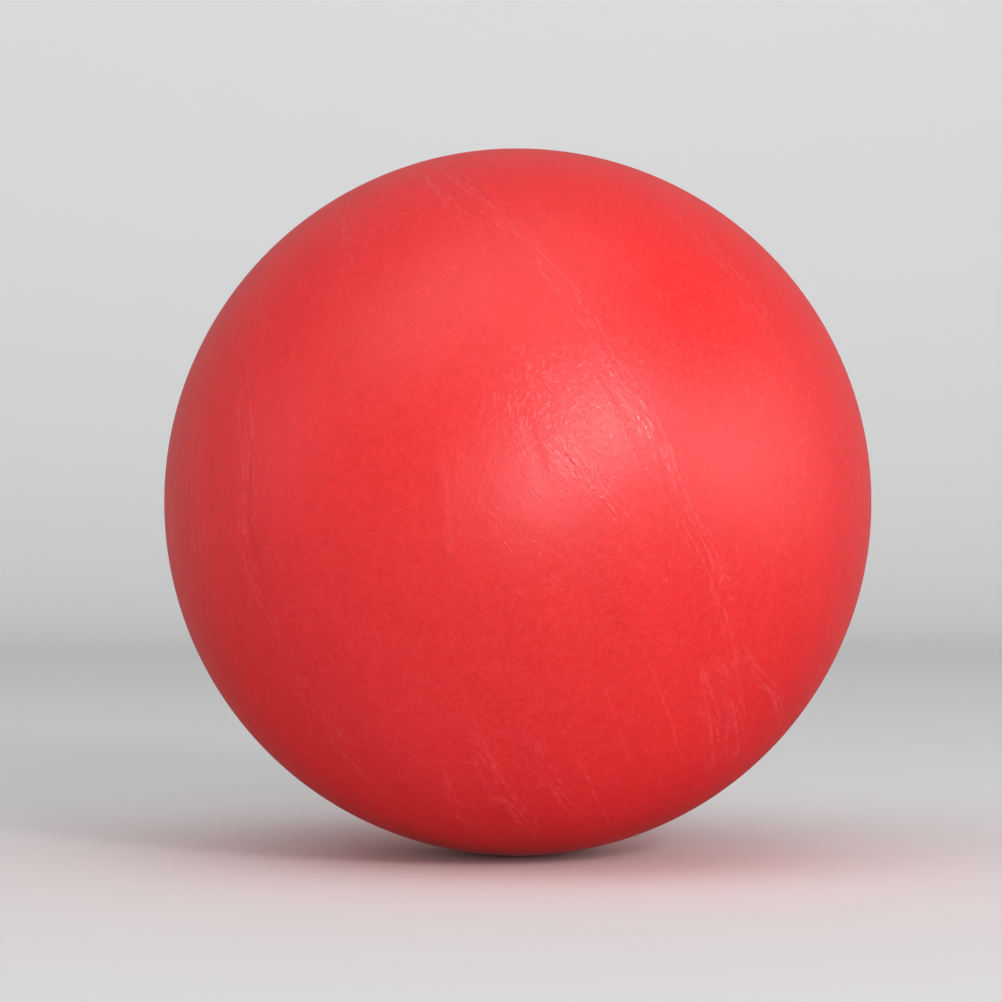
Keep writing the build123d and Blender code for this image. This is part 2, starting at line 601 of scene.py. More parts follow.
    streak_crest = nodes.new("ShaderNodeMapRange")
    streak_crest.label = "Keep the crests as tapered ridges"
    streak_crest.parent = streak_frame
    streak_crest.interpolation_type = "SMOOTHSTEP"
    streak_crest.inputs["From Min"].default_value = 0.49
    streak_crest.inputs["From Max"].default_value = 0.62
    links.new(streak_field.outputs["Fac"], streak_crest.inputs["Value"])

    stroke_bend = nodes.new("ShaderNodeVectorMath")
    stroke_bend.label = "Bend the strokes a little"
    stroke_bend.parent = streak_frame
    stroke_bend.operation = "MULTIPLY_ADD"
    stroke_bend.inputs[1].default_value = (0.7, 0.7, 0.0)
    links.new(wander.outputs["Color"], stroke_bend.inputs[0])
    links.new(streak.outputs["Vector"], stroke_bend.inputs[2])

    stroke_place = nodes.new("ShaderNodeVectorMath")
    stroke_place.label = "Stroke cells two thirds by three millimetres"
    stroke_place.parent = streak_frame
    stroke_place.operation = "MULTIPLY"
    stroke_place.inputs[1].default_value = (1.5, 0.33, 0.0)
    links.new(stroke_bend.outputs["Vector"], stroke_place.inputs[0])

    stroke = nodes.new("ShaderNodeTexVoronoi")
    stroke.label = "Short strokes, one after the other"
    stroke.parent = streak_frame
    stroke.voronoi_dimensions = "2D"
    stroke.inputs["Scale"].default_value = 1.0
    links.new(stroke_place.outputs["Vector"], stroke.inputs["Vector"])

    stroke_body = nodes.new("ShaderNodeMapRange")
    stroke_body.label = "Tapered stroke a third of a millimetre wide"
    stroke_body.parent = streak_frame
    stroke_body.interpolation_type = "SMOOTHSTEP"
    stroke_body.inputs["From Min"].default_value = 0.36
    stroke_body.inputs["From Max"].default_value = 0.10
    links.new(stroke.outputs["Distance"], stroke_body.inputs["Value"])

    stroke_pick = nodes.new("ShaderNodeSeparateColor")
    stroke_pick.label = "A random number for each stroke"
    stroke_pick.parent = streak_frame
    links.new(stroke.outputs["Color"], stroke_pick.inputs["Color"])

    stroke_height = nodes.new("ShaderNodeMath")
    stroke_height.label = "Strokes of random height"
    stroke_height.parent = streak_frame
    stroke_height.operation = "MULTIPLY"
    links.new(stroke_body.outputs["Result"], stroke_height.inputs[0])
    links.new(stroke_pick.outputs["Red"], stroke_height.inputs[1])

    streak_both = nodes.new("ShaderNodeMath")
    streak_both.label = "Crests and strokes together"
    streak_both.parent = streak_frame
    streak_both.operation = "MAXIMUM"
    links.new(streak_crest.outputs["Result"], streak_both.inputs[0])
    links.new(stroke_height.outputs["Value"], streak_both.inputs[1])

    bead_place = nodes.new("ShaderNodeVectorMath")
    bead_place.label = "Beads half as long again as they are wide"
    bead_place.parent = streak_frame
    bead_place.operation = "MULTIPLY"
    bead_place.inputs[1].default_value = (1.0, 0.65, 0.0)
    links.new(stroke_bend.outputs["Vector"], bead_place.inputs[0])

    beads = nodes.new("ShaderNodeTexNoise")
    beads.label = "Where streaks swell and break"
    beads.parent = streak_frame
    beads.inputs["Scale"].default_value = 2.0
    beads.inputs["Detail"].default_value = 2.0
    links.new(bead_place.outputs["Vector"], beads.inputs["Vector"])

    bead_share = nodes.new("ShaderNodeMapRange")
    bead_share.label = "Streaks break into beads"
    bead_share.parent = streak_frame
    bead_share.interpolation_type = "SMOOTHSTEP"
    bead_share.inputs["From Min"].default_value = 0.38
    bead_share.inputs["From Max"].default_value = 0.60
    bead_share.inputs["To Min"].default_value = 0.3
    bead_share.inputs["To Max"].default_value = 1.15
    links.new(beads.outputs["Fac"], bead_share.inputs["Value"])

    streak_beads = nodes.new("ShaderNodeMath")
    streak_beads.label = "Beaded streaks"
    streak_beads.parent = streak_frame
    streak_beads.operation = "MULTIPLY"
    links.new(streak_both.outputs["Value"], streak_beads.inputs[0])
    links.new(bead_share.outputs["Result"], streak_beads.inputs[1])

    streak_mask = nodes.new("ShaderNodeMath")
    streak_mask.label = "Streaks, kept to their bundles"
    streak_mask.parent = streak_frame
    streak_mask.operation = "MULTIPLY"
    links.new(streak_beads.outputs["Value"], streak_mask.inputs[0])
    links.new(streak_parts.outputs["Z"], streak_mask.inputs[1])

    # Single ridges
    ridge_frame = nodes.new("NodeFrame")
    ridge_frame.label = "Single raised lines"

    ridge = nodes.new("ShaderNodeAttribute")
    ridge.label = "Gap, run and strength of the nearest ridge"
    ridge.parent = ridge_frame
    ridge.attribute_name = "ridge"

    ridge_parts = nodes.new("ShaderNodeSeparateXYZ")
    ridge_parts.label = "Split the ridge's readings"
    ridge_parts.parent = ridge_frame
    links.new(ridge.outputs["Vector"], ridge_parts.inputs["Vector"])

    ridge_waver = nodes.new("ShaderNodeTexNoise")
    ridge_waver.label = "Waver and fading of the ridge"
    ridge_waver.parent = ridge_frame
    ridge_waver.inputs["Scale"].default_value = 0.6
    ridge_waver.inputs["Detail"].default_value = 3.0
    links.new(grain_turn.outputs["Vector"], ridge_waver.inputs["Vector"])

    ridge_offset = nodes.new("ShaderNodeMath")
    ridge_offset.label = "Waver by a tenth of a millimetre"
    ridge_offset.parent = ridge_frame
    ridge_offset.operation = "MULTIPLY_ADD"
    ridge_offset.inputs[1].default_value = 0.5
    links.new(ridge_waver.outputs["Fac"], ridge_offset.inputs[0])
    links.new(ridge_parts.outputs["X"], ridge_offset.inputs[2])

    ridge_away = nodes.new("ShaderNodeMath")
    ridge_away.label = "Distance from the wavering line"
    ridge_away.parent = ridge_frame
    ridge_away.operation = "SUBTRACT"
    ridge_away.inputs[1].default_value = 0.25
    links.new(ridge_offset.outputs["Value"], ridge_away.inputs[0])

    ridge_size = nodes.new("ShaderNodeMath")
    ridge_size.label = "The same on both sides"
    ridge_size.parent = ridge_frame
    ridge_size.operation = "ABSOLUTE"
    links.new(ridge_away.outputs["Value"], ridge_size.inputs[0])

    ridge_crest = nodes.new("ShaderNodeMapRange")
    ridge_crest.label = "Round ridge a fifth of a millimetre wide"
    ridge_crest.parent = ridge_frame
    ridge_crest.interpolation_type = "SMOOTHSTEP"
    ridge_crest.inputs["From Min"].default_value = 0.13
    ridge_crest.inputs["From Max"].default_value = 0.0
    links.new(ridge_size.outputs["Value"], ridge_crest.inputs["Value"])

    ridge_kept = nodes.new("ShaderNodeMapRange")
    ridge_kept.label = "The ridge fades and comes back"
    ridge_kept.parent = ridge_frame
    ridge_kept.interpolation_type = "SMOOTHSTEP"
    ridge_kept.inputs["From Min"].default_value = 0.38
    ridge_kept.inputs["From Max"].default_value = 0.52
    ridge_kept.inputs["To Min"].default_value = 0.1
    links.new(ridge_waver.outputs["Fac"], ridge_kept.inputs["Value"])

    ridge_broken = nodes.new("ShaderNodeMath")
    ridge_broken.label = "Broken ridges"
    ridge_broken.parent = ridge_frame
    ridge_broken.operation = "MULTIPLY"
    links.new(ridge_crest.outputs["Result"], ridge_broken.inputs[0])
    links.new(ridge_kept.outputs["Result"], ridge_broken.inputs[1])

    ridge_mask = nodes.new("ShaderNodeMath")
    ridge_mask.label = "Ridges, faded at their ends"
    ridge_mask.parent = ridge_frame
    ridge_mask.operation = "MULTIPLY"
    links.new(ridge_broken.outputs["Value"], ridge_mask.inputs[0])
    links.new(ridge_parts.outputs["Z"], ridge_mask.inputs[1])

    # Wide soft folds, with a crest of their own
    fold_frame = nodes.new("NodeFrame")
    fold_frame.label = "Crests of the wide folds"

    fold = nodes.new("ShaderNodeAttribute")
    fold.label = "Gap, run and strength of the nearest fold"
    fold.parent = fold_frame
    fold.attribute_name = "fold"

    fold_parts = nodes.new("ShaderNodeSeparateXYZ")
    fold_parts.label = "Split the fold's readings"
    fold_parts.parent = fold_frame
    links.new(fold.outputs["Vector"], fold_parts.inputs["Vector"])

    fold_size = nodes.new("ShaderNodeMath")
    fold_size.label = "Distance from the fold's middle"
    fold_size.parent = fold_frame
    fold_size.operation = "ABSOLUTE"
    links.new(fold_parts.outputs["X"], fold_size.inputs[0])

    fold_crest = nodes.new("ShaderNodeMapRange")
    fold_crest.label = "Soft crest or groove over a millimetre wide"
    fold_crest.parent = fold_frame
    fold_crest.interpolation_type = "SMOOTHSTEP"
    fold_crest.inputs["From Min"].default_value = 0.75
    fold_crest.inputs["From Max"].default_value = 0.05
    links.new(fold_size.outputs["Value"], fold_crest.inputs["Value"])

    fold_mask = nodes.new("ShaderNodeMath")
    fold_mask.label = "Crests, faded at their ends"
    fold_mask.parent = fold_frame
    fold_mask.operation = "MULTIPLY"
    links.new(fold_crest.outputs["Result"], fold_mask.inputs[0])
    links.new(fold_parts.outputs["Z"], fold_mask.inputs[1])

    # Wrinkles: the borders of crazed cells, broken up
    wrinkle_frame = nodes.new("NodeFrame")
    wrinkle_frame.label = "Wandering wrinkles"

    crumple = nodes.new("ShaderNodeTexNoise")
    crumple.label = "Crumple the cells"
    crumple.parent = wrinkle_frame
    crumple.inputs["Scale"].default_value = 1.2
    crumple.inputs["Detail"].default_value = 3.0
    links.new(grain_turn.outputs["Vector"], crumple.inputs["Vector"])

    crumpled = nodes.new("ShaderNodeVectorMath")
    crumpled.label = "Crumpled places"
    crumpled.parent = wrinkle_frame
    crumpled.operation = "MULTIPLY_ADD"
    crumpled.inputs[1].default_value = (0.8, 0.8, 0.8)
    links.new(crumple.outputs["Color"], crumpled.inputs[0])
    links.new(grain_turn.outputs["Vector"], crumpled.inputs[2])

    stretched = nodes.new("ShaderNodeVectorMath")
    stretched.label = "Cells twice as long along the grain"
    stretched.parent = wrinkle_frame
    stretched.operation = "MULTIPLY"
    stretched.inputs[1].default_value = (1.0, 1.0, 0.5)
    links.new(crumpled.outputs["Vector"], stretched.inputs[0])

    cells = nodes.new("ShaderNodeTexVoronoi")
    cells.label = "Crazed cells"
    cells.parent = wrinkle_frame
    cells.feature = "DISTANCE_TO_EDGE"
    cells.inputs["Scale"].default_value = 1.8
    links.new(stretched.outputs["Vector"], cells.inputs["Vector"])

    cell_border = nodes.new("ShaderNodeMapRange")
    cell_border.label = "Thin raised borders"
    cell_border.parent = wrinkle_frame
    cell_border.interpolation_type = "SMOOTHSTEP"
    cell_border.inputs["From Min"].default_value = 0.12
    cell_border.inputs["From Max"].default_value = 0.0
    links.new(cells.outputs["Distance"], cell_border.inputs["Value"])

    border_break = nodes.new("ShaderNodeTexNoise")
    border_break.label = "Where borders break off"
    border_break.parent = wrinkle_frame
    border_break.inputs["Scale"].default_value = 1.8
    border_break.inputs["Detail"].default_value = 3.0
    links.new(wandered.outputs["Vector"], border_break.inputs["Vector"])

    border_kept = nodes.new("ShaderNodeMapRange")
    border_kept.label = "Keep about half of the borders"
    border_kept.parent = wrinkle_frame
    border_kept.interpolation_type = "SMOOTHSTEP"
    border_kept.inputs["From Min"].default_value = 0.46
    border_kept.inputs["From Max"].default_value = 0.56
    links.new(border_break.outputs["Fac"], border_kept.inputs["Value"])

    broken_border = nodes.new("ShaderNodeMath")
    broken_border.label = "Broken wrinkles"
    broken_border.parent = wrinkle_frame
    broken_border.operation = "MULTIPLY"
    links.new(cell_border.outputs["Result"], broken_border.inputs[0])
    links.new(border_kept.outputs["Result"], broken_border.inputs[1])

    wrinkle_mask = nodes.new("ShaderNodeMath")
    wrinkle_mask.label = "Wrinkles, kept to their patches"
    wrinkle_mask.parent = wrinkle_frame
    wrinkle_mask.operation = "MULTIPLY"
    links.new(broken_border.outputs["Value"], wrinkle_mask.inputs[0])
    links.new(wrinkle.outputs["Fac"], wrinkle_mask.inputs[1])

    # Specks: round pimples and pits of undispersed filler, in clusters
    speck_frame = nodes.new("NodeFrame")
    speck_frame.label = "Filler specks"

    speck = nodes.new("ShaderNodeTexVoronoi")
    speck.label = "One speck in each cell"
    speck.parent = speck_frame
    speck.inputs["Scale"].default_value = 2.6
    links.new(grain_turn.outputs["Vector"], speck.inputs["Vector"])

    speck_dot = nodes.new("ShaderNodeMapRange")
    speck_dot.label = "Round dot a sixth of a millimetre wide"
    speck_dot.parent = speck_frame
    speck_dot.interpolation_type = "SMOOTHSTEP"
    speck_dot.inputs["From Min"].default_value = 0.30
    speck_dot.inputs["From Max"].default_value = 0.08
    links.new(speck.outputs["Distance"], speck_dot.inputs["Value"])

    speck_pick = nodes.new("ShaderNodeSeparateColor")
    speck_pick.label = "A random number for each cell"
    speck_pick.parent = speck_frame
    links.new(speck.outputs["Color"], speck_pick.inputs["Color"])

    speck_sign = nodes.new("ShaderNodeMapRange")
    speck_sign.label = "Pimples, and a few pits"
    speck_sign.parent = speck_frame
    speck_sign.inputs["To Min"].default_value = -0.8
    speck_sign.inputs["To Max"].default_value = 1.0
    links.new(speck_pick.outputs["Red"], speck_sign.inputs["Value"])

    speck_cluster = nodes.new("ShaderNodeTexNoise")
    speck_cluster.label = "Where specks cluster"
    speck_cluster.parent = speck_frame
    speck_cluster.inputs["Scale"].default_value = 0.42
    speck_cluster.inputs["Detail"].default_value = 2.0
    links.new(wandered.outputs["Vector"], speck_cluster.inputs["Vector"])

    speck_crowd = nodes.new("ShaderNodeMapRange")
    speck_crowd.label = "Soft edge of each cluster"
    speck_crowd.parent = speck_frame
    speck_crowd.interpolation_type = "SMOOTHSTEP"
    speck_crowd.inputs["From Min"].default_value = 0.46
    speck_crowd.inputs["From Max"].default_value = 0.60
    links.new(speck_cluster.outputs["Fac"], speck_crowd.inputs["Value"])

    speck_share = nodes.new("ShaderNodeMath")
    speck_share.label = "Clusters in restless skin"
    speck_share.parent = speck_frame
    speck_share.operation = "MULTIPLY"
    links.new(speck_crowd.outputs["Result"], speck_share.inputs[0])
    links.new(unrest.outputs["Fac"], speck_share.inputs[1])

    speck_lines = nodes.new("ShaderNodeMath")
    speck_lines.label = "Specks beside the bundles and wrinkles"
    speck_lines.parent = speck_frame
    speck_lines.operation = "MAXIMUM"
    links.new(streak_parts.outputs["Z"], speck_lines.inputs[0])
    links.new(wrinkle.outputs["Fac"], speck_lines.inputs[1])

    speck_everywhere = nodes.new("ShaderNodeMath")
    speck_everywhere.label = "Specks in clusters and beside lines"
    speck_everywhere.parent = speck_frame
    speck_everywhere.operation = "MAXIMUM"
    links.new(speck_share.outputs["Value"], speck_everywhere.inputs[0])
    links.new(speck_lines.outputs["Value"], speck_everywhere.inputs[1])

    speck_height = nodes.new("ShaderNodeMath")
    speck_height.label = "Raised and sunken specks"
    speck_height.parent = speck_frame
    speck_height.operation = "MULTIPLY"
    links.new(speck_dot.outputs["Result"], speck_height.inputs[0])
    links.new(speck_sign.outputs["Result"], speck_height.inputs[1])

    speck_mask = nodes.new("ShaderNodeMath")
    speck_mask.label = "Specks, kept to their clusters"
    speck_mask.parent = speck_frame
    speck_mask.operation = "MULTIPLY"
    links.new(speck_height.outputs["Value"], speck_mask.inputs[0])
    links.new(speck_everywhere.outputs["Value"], speck_mask.inputs[1])

    # Skin: cloudiness of the pigment and the mould's fine tooth
    skin_frame = nodes.new("NodeFrame")
    skin_frame.label = "Cloudy pigment and fine tooth"

    cloud = nodes.new("ShaderNodeTexNoise")
    cloud.label = "Cloudy pigment"
    cloud.parent = skin_frame
    cloud.inputs["Scale"].default_value = 0.16
    cloud.inputs["Detail"].default_value = 4.0
    cloud.inputs["Roughness"].default_value = 0.6
    links.new(drawn.outputs["Vector"], cloud.inputs["Vector"])

    mottle = nodes.new("ShaderNodeTexNoise")
    mottle.label = "Mottle one or two millimetres wide"
    mottle.parent = skin_frame
    mottle.inputs["Scale"].default_value = 0.8
    mottle.inputs["Detail"].default_value = 4.0
    mottle.inputs["Roughness"].default_value = 0.62
    links.new(wandered.outputs["Vector"], mottle.inputs["Vector"])

    tooth = nodes.new("ShaderNodeTexNoise")
    tooth.label = "Fine tooth of the mould"
    tooth.parent = skin_frame
    tooth.inputs["Scale"].default_value = 2.1
    tooth.inputs["Detail"].default_value = 3.0
    tooth.inputs["Roughness"].default_value = 0.75
    links.new(grain_turn.outputs["Vector"], tooth.inputs["Vector"])

    bloom = nodes.new("ShaderNodeMapRange")
    bloom.label = "Pale bloom on the high spots of the tooth"
    bloom.parent = skin_frame
    bloom.inputs["From Min"].default_value = 0.36
    bloom.inputs["From Max"].default_value = 0.70
    bloom.inputs["To Max"].default_value = 0.14
    links.new(tooth.outputs["Fac"], bloom.inputs["Value"])

    # Parting line: a buffed band each side of the XZ plane
    seam_frame = nodes.new("NodeFrame")
    seam_frame.label = "Buffed parting line"

    seam_place = nodes.new("ShaderNodeSeparateXYZ")
    seam_place.label = "Distance from the parting plane"
    seam_place.parent = seam_frame
    links.new(place.outputs["Object"], seam_place.inputs["Vector"])

    seam_size = nodes.new("ShaderNodeMath")
    seam_size.label = "The same on both cups"
    seam_size.parent = seam_frame
    seam_size.operation = "ABSOLUTE"
    links.new(seam_place.outputs["Y"], seam_size.inputs[0])

    seam_band = nodes.new("ShaderNodeMapRange")
    seam_band.label = "Band buffed about a millimetre each side"
    seam_band.parent = seam_frame
    seam_band.interpolation_type = "SMOOTHSTEP"
    seam_band.inputs["From Min"].default_value = 1.2 * MM
    seam_band.inputs["From Max"].default_value = 0.5 * MM
    links.new(seam_size.outputs["Value"], seam_band.inputs["Value"])

    buffing = nodes.new("ShaderNodeTexNoise")
    buffing.label = "Fine scratches round the line"
    buffing.parent = seam_frame
    buffing.inputs["Scale"].default_value = 5.0
    buffing.inputs["Detail"].default_value = 2.0
    links.new(grain_turn.outputs["Vector"], buffing.inputs["Vector"])

    buffed = nodes.new("ShaderNodeMath")
    buffed.label = "Buffed texture, kept to the band"
    buffed.parent = seam_frame
    buffed.operation = "MULTIPLY"
    links.new(buffing.outputs["Fac"], buffed.inputs[0])
    links.new(seam_band.outputs["Result"], buffed.inputs[1])

    # Colour
    colour_frame = nodes.new("NodeFrame")
    colour_frame.label = "Colour"

    tone = nodes.new("ShaderNodeMath")
    tone.label = "Cloudiness and mottle together"
    tone.parent = colour_frame
    tone.operation = "ADD"
    links.new(cloud.outputs["Fac"], tone.inputs[0])
    links.new(mottle.outputs["Fac"], tone.inputs[1])

    tone_contrast = nodes.new("ShaderNodeMapRange")
    tone_contrast.label = "Contrast of the pigment"
    tone_contrast.parent = colour_frame
    tone_contrast.inputs["From Min"].default_value = 0.72
    tone_contrast.inputs["From Max"].default_value = 1.28
    links.new(tone.outputs["Value"], tone_contrast.inputs["Value"])

    cloudy_red = nodes.new("ShaderNodeMix")
    cloudy_red.label = "Deep to clean red"
    cloudy_red.parent = colour_frame
    cloudy_red.data_type = "RGBA"
    cloudy_red.inputs["A"].default_value = (*finish.deep, 1.0)
    cloudy_red.inputs["B"].default_value = (*finish.base, 1.0)
    links.new(tone_contrast.outputs["Result"], cloudy_red.inputs["Factor"])

    pale_marks = nodes.new("ShaderNodeMath")
    pale_marks.label = "Streaks and ridges together"
    pale_marks.parent = colour_frame
    pale_marks.operation = "MAXIMUM"
    links.new(streak_mask.outputs["Value"], pale_marks.inputs[0])
    links.new(ridge_mask.outputs["Value"], pale_marks.inputs[1])

    pale_lines = nodes.new("ShaderNodeMath")
    pale_lines.label = "Wrinkles as well"
    pale_lines.parent = colour_frame
    pale_lines.operation = "MAXIMUM"
    links.new(pale_marks.outputs["Value"], pale_lines.inputs[0])
    links.new(wrinkle_mask.outputs["Value"], pale_lines.inputs[1])

    pale_fine = nodes.new("ShaderNodeMath")
    pale_fine.label = "Fibres and specks together"
    pale_fine.parent = colour_frame
    pale_fine.operation = "ADD"
    links.new(fibre_mask.outputs["Value"], pale_fine.inputs[0])
    links.new(speck_mask.outputs["Value"], pale_fine.inputs[1])

    pale_fine_share = nodes.new("ShaderNodeMath")
    pale_fine_share.label = "Fibres and specks go a little pale, over the bloom"
    pale_fine_share.parent = colour_frame
    pale_fine_share.operation = "MULTIPLY_ADD"
    pale_fine_share.inputs[1].default_value = 0.32
    links.new(pale_fine.outputs["Value"], pale_fine_share.inputs[0])
    links.new(bloom.outputs["Result"], pale_fine_share.inputs[2])

    pale_fold_share = nodes.new("ShaderNodeMath")
    pale_fold_share.label = "Folds go a little pale"
    pale_fold_share.parent = colour_frame
    pale_fold_share.operation = "MULTIPLY_ADD"
    pale_fold_share.inputs[1].default_value = 0.10
    links.new(fold_mask.outputs["Value"], pale_fold_share.inputs[0])
    links.new(pale_fine_share.outputs["Value"], pale_fold_share.inputs[2])

    # The lines, folds, fibres and specks are mixed towards the pale colour: partly pale drawn-out rubber,
    # partly a painted glint standing in for the highlight that the marks catch.
    pale_and_glint_share = nodes.new("ShaderNodeMath")
    pale_and_glint_share.label = "Lines go palest"
    pale_and_glint_share.parent = colour_frame
    pale_and_glint_share.operation = "MULTIPLY_ADD"
    pale_and_glint_share.use_clamp = True
    pale_and_glint_share.inputs[1].default_value = 0.55
    links.new(pale_lines.outputs["Value"], pale_and_glint_share.inputs[0])
    links.new(pale_fold_share.outputs["Value"], pale_and_glint_share.inputs[2])

    skin_colour = nodes.new("ShaderNodeMix")
    skin_colour.label = "Red skin with paler marks"
    skin_colour.parent = colour_frame
    skin_colour.data_type = "RGBA"
    skin_colour.inputs["B"].default_value = (*finish.pale_and_glint, 1.0)
    links.new(pale_and_glint_share.outputs["Value"], skin_colour.inputs["Factor"])
    links.new(cloudy_red.outputs["Result"], skin_colour.inputs["A"])

    # Roughness
    gloss_frame = nodes.new("NodeFrame")
    gloss_frame.label = "Satin gloss"

    gloss_cloud = nodes.new("ShaderNodeMapRange")
    gloss_cloud.label = "Satin, a little uneven"
    gloss_cloud.parent = gloss_frame
    gloss_cloud.inputs["From Min"].default_value = 0.25
    gloss_cloud.inputs["From Max"].default_value = 0.75
    gloss_cloud.inputs["To Min"].default_value = finish.roughness - 0.05
    gloss_cloud.inputs["To Max"].default_value = finish.roughness + 0.05
    links.new(tooth.outputs["Fac"], gloss_cloud.inputs["Value"])

    gloss_marks = nodes.new("ShaderNodeMath")
    gloss_marks.label = "Marks are drawn smoother"
    gloss_marks.parent = gloss_frame
    gloss_marks.operation = "MULTIPLY_ADD"
    gloss_marks.inputs[1].default_value = -0.16
    links.new(pale_lines.outputs["Value"], gloss_marks.inputs[0])
    links.new(gloss_cloud.outputs["Result"], gloss_marks.inputs[2])

    gloss = nodes.new("ShaderNodeMath")
    gloss.label = "The buffed band is duller"
    gloss.parent = gloss_frame
    gloss.operation = "MULTIPLY_ADD"
    gloss.inputs[1].default_value = 0.14
    links.new(seam_band.outputs["Result"], gloss.inputs[0])
    links.new(gloss_marks.outputs["Value"], gloss.inputs[2])

    # Relief, added up in microns
    relief_frame = nodes.new("NodeFrame")
    relief_frame.label = "Relief in microns"

    relief_streaks = nodes.new("ShaderNodeMath")
    relief_streaks.label = "Streaks stand 30 microns high"
    relief_streaks.parent = relief_frame
    relief_streaks.operation = "MULTIPLY"
    relief_streaks.inputs[1].default_value = 30.0
    links.new(streak_mask.outputs["Value"], relief_streaks.inputs[0])

    relief_ridges = nodes.new("ShaderNodeMath")
    relief_ridges.label = "Ridges stand 30 microns high"
    relief_ridges.parent = relief_frame
    relief_ridges.operation = "MULTIPLY_ADD"
    relief_ridges.inputs[1].default_value = 30.0
    links.new(ridge_mask.outputs["Value"], relief_ridges.inputs[0])
    links.new(relief_streaks.outputs["Value"], relief_ridges.inputs[2])

    relief_wrinkles = nodes.new("ShaderNodeMath")
    relief_wrinkles.label = "Wrinkles stand 17 microns high"
    relief_wrinkles.parent = relief_frame
    relief_wrinkles.operation = "MULTIPLY_ADD"
    relief_wrinkles.inputs[1].default_value = 17.0
    links.new(wrinkle_mask.outputs["Value"], relief_wrinkles.inputs[0])
    links.new(relief_ridges.outputs["Value"], relief_wrinkles.inputs[2])

    relief_fibres = nodes.new("ShaderNodeMath")
    relief_fibres.label = "Fibres stand 13 microns high"
    relief_fibres.parent = relief_frame
    relief_fibres.operation = "MULTIPLY_ADD"
    relief_fibres.inputs[1].default_value = 13.0
    links.new(fibre_mask.outputs["Value"], relief_fibres.inputs[0])
    links.new(relief_wrinkles.outputs["Value"], relief_fibres.inputs[2])

    relief_folds = nodes.new("ShaderNodeMath")
    relief_folds.label = "Fold crests stand 24 microns high"
    relief_folds.parent = relief_frame
    relief_folds.operation = "MULTIPLY_ADD"
    relief_folds.inputs[1].default_value = 24.0
    links.new(fold_mask.outputs["Value"], relief_folds.inputs[0])
    links.new(relief_fibres.outputs["Value"], relief_folds.inputs[2])

    relief_specks = nodes.new("ShaderNodeMath")
    relief_specks.label = "Specks stand 10 microns high"
    relief_specks.parent = relief_frame
    relief_specks.operation = "MULTIPLY_ADD"
    relief_specks.inputs[1].default_value = 10.0
    links.new(speck_mask.outputs["Value"], relief_specks.inputs[0])
    links.new(relief_folds.outputs["Value"], relief_specks.inputs[2])

    relief_mottle = nodes.new("ShaderNodeMath")
    relief_mottle.label = "The mottle is 36 microns deep"
    relief_mottle.parent = relief_frame
    relief_mottle.operation = "MULTIPLY_ADD"
    relief_mottle.inputs[1].default_value = 36.0
    links.new(mottle.outputs["Fac"], relief_mottle.inputs[0])
    links.new(relief_specks.outputs["Value"], relief_mottle.inputs[2])

    relief_tooth = nodes.new("ShaderNodeMath")
    relief_tooth.label = "The tooth is 15 microns deep"
    relief_tooth.parent = relief_frame
    relief_tooth.operation = "MULTIPLY_ADD"
    relief_tooth.inputs[1].default_value = 15.0
    links.new(tooth.outputs["Fac"], relief_tooth.inputs[0])
    links.new(relief_mottle.outputs["Value"], relief_tooth.inputs[2])

    relief = nodes.new("ShaderNodeMath")
    relief.label = "Buffing is 12 microns deep"
    relief.parent = relief_frame
    relief.operation = "MULTIPLY_ADD"
    relief.inputs[1].default_value = 12.0
    links.new(buffed.outputs["Value"], relief.inputs[0])
    links.new(relief_tooth.outputs["Value"], relief.inputs[2])

    bump = nodes.new("ShaderNodeBump")
    bump.label = "Raise the skin by its relief"
    bump.parent = relief_frame
    bump.inputs["Distance"].default_value = MICRON
    links.new(relief.outputs["Value"], bump.inputs["Height"])

    # Surface
    rubber = nodes.new("ShaderNodeBsdfPrincipled")
    rubber.label = "Satin rubber"
    rubber.inputs["IOR"].default_value = 1.6
    links.new(skin_colour.outputs["Result"], rubber.inputs["Base Color"])
    links.new(gloss.outputs["Value"], rubber.inputs["Roughness"])
    links.new(bump.outputs["Normal"], rubber.inputs["Normal"])

    output = nodes.new("ShaderNodeOutputMaterial")
    output.label = "Skin of the ball"
    links.new(rubber.outputs["BSDF"], output.inputs["Surface"])

    spread_out(tree)
    return material


